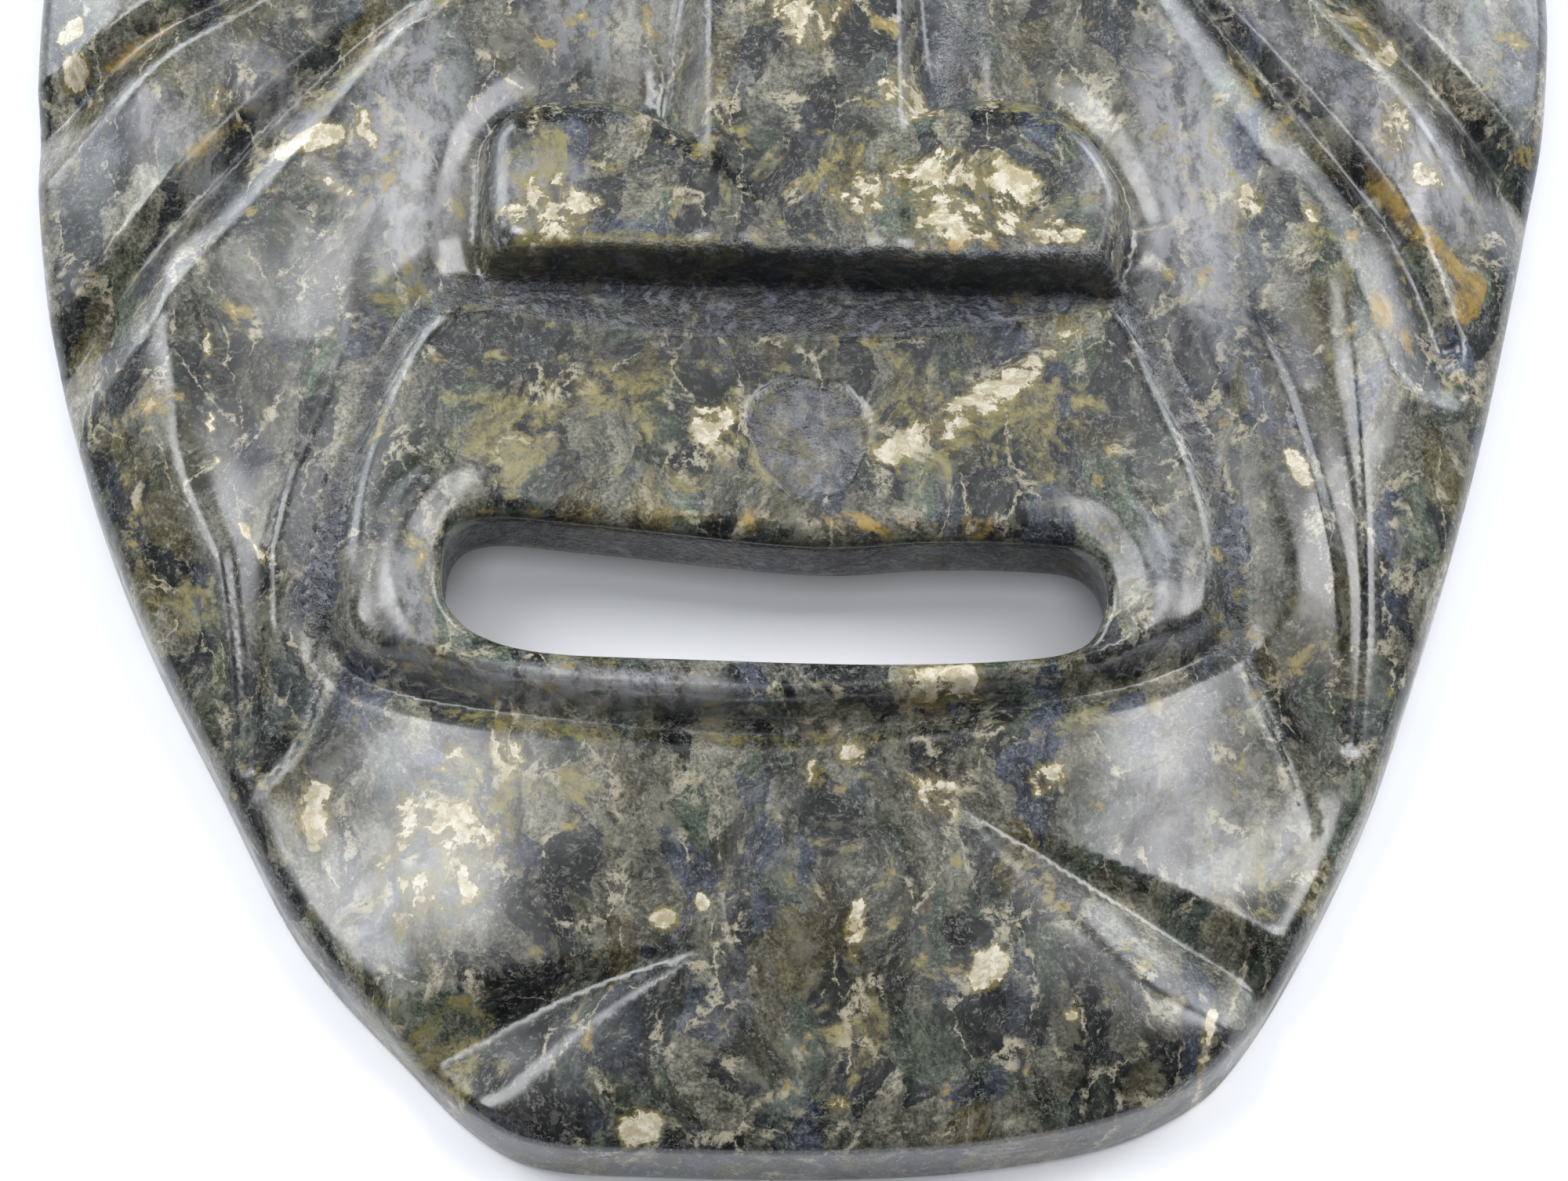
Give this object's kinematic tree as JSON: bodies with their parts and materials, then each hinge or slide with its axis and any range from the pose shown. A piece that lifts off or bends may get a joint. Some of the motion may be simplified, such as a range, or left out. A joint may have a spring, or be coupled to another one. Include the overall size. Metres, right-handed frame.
{
  "type": "stone mask",
  "caption": "Carved and polished stone face mask lying on its back, with a bar nose, a pierced slot mouth, pierced eyes, V-cut lines and a hollow back.",
  "frame": {"origin": "middle of the bounding box at the underside, on the flat rim the mask lies on", "axes": "+Z out of the face, +Y from the chin to the forehead, +X to the right as the face is looked at"},
  "size_m": [0.1229, 0.1489, 0.0203],
  "materials": {
    "stone": "polished dark green mottled stone with cream veins"
  },
  "bodies": {
    "root": {"mask": "stone"}
  },
  "joints": []
}
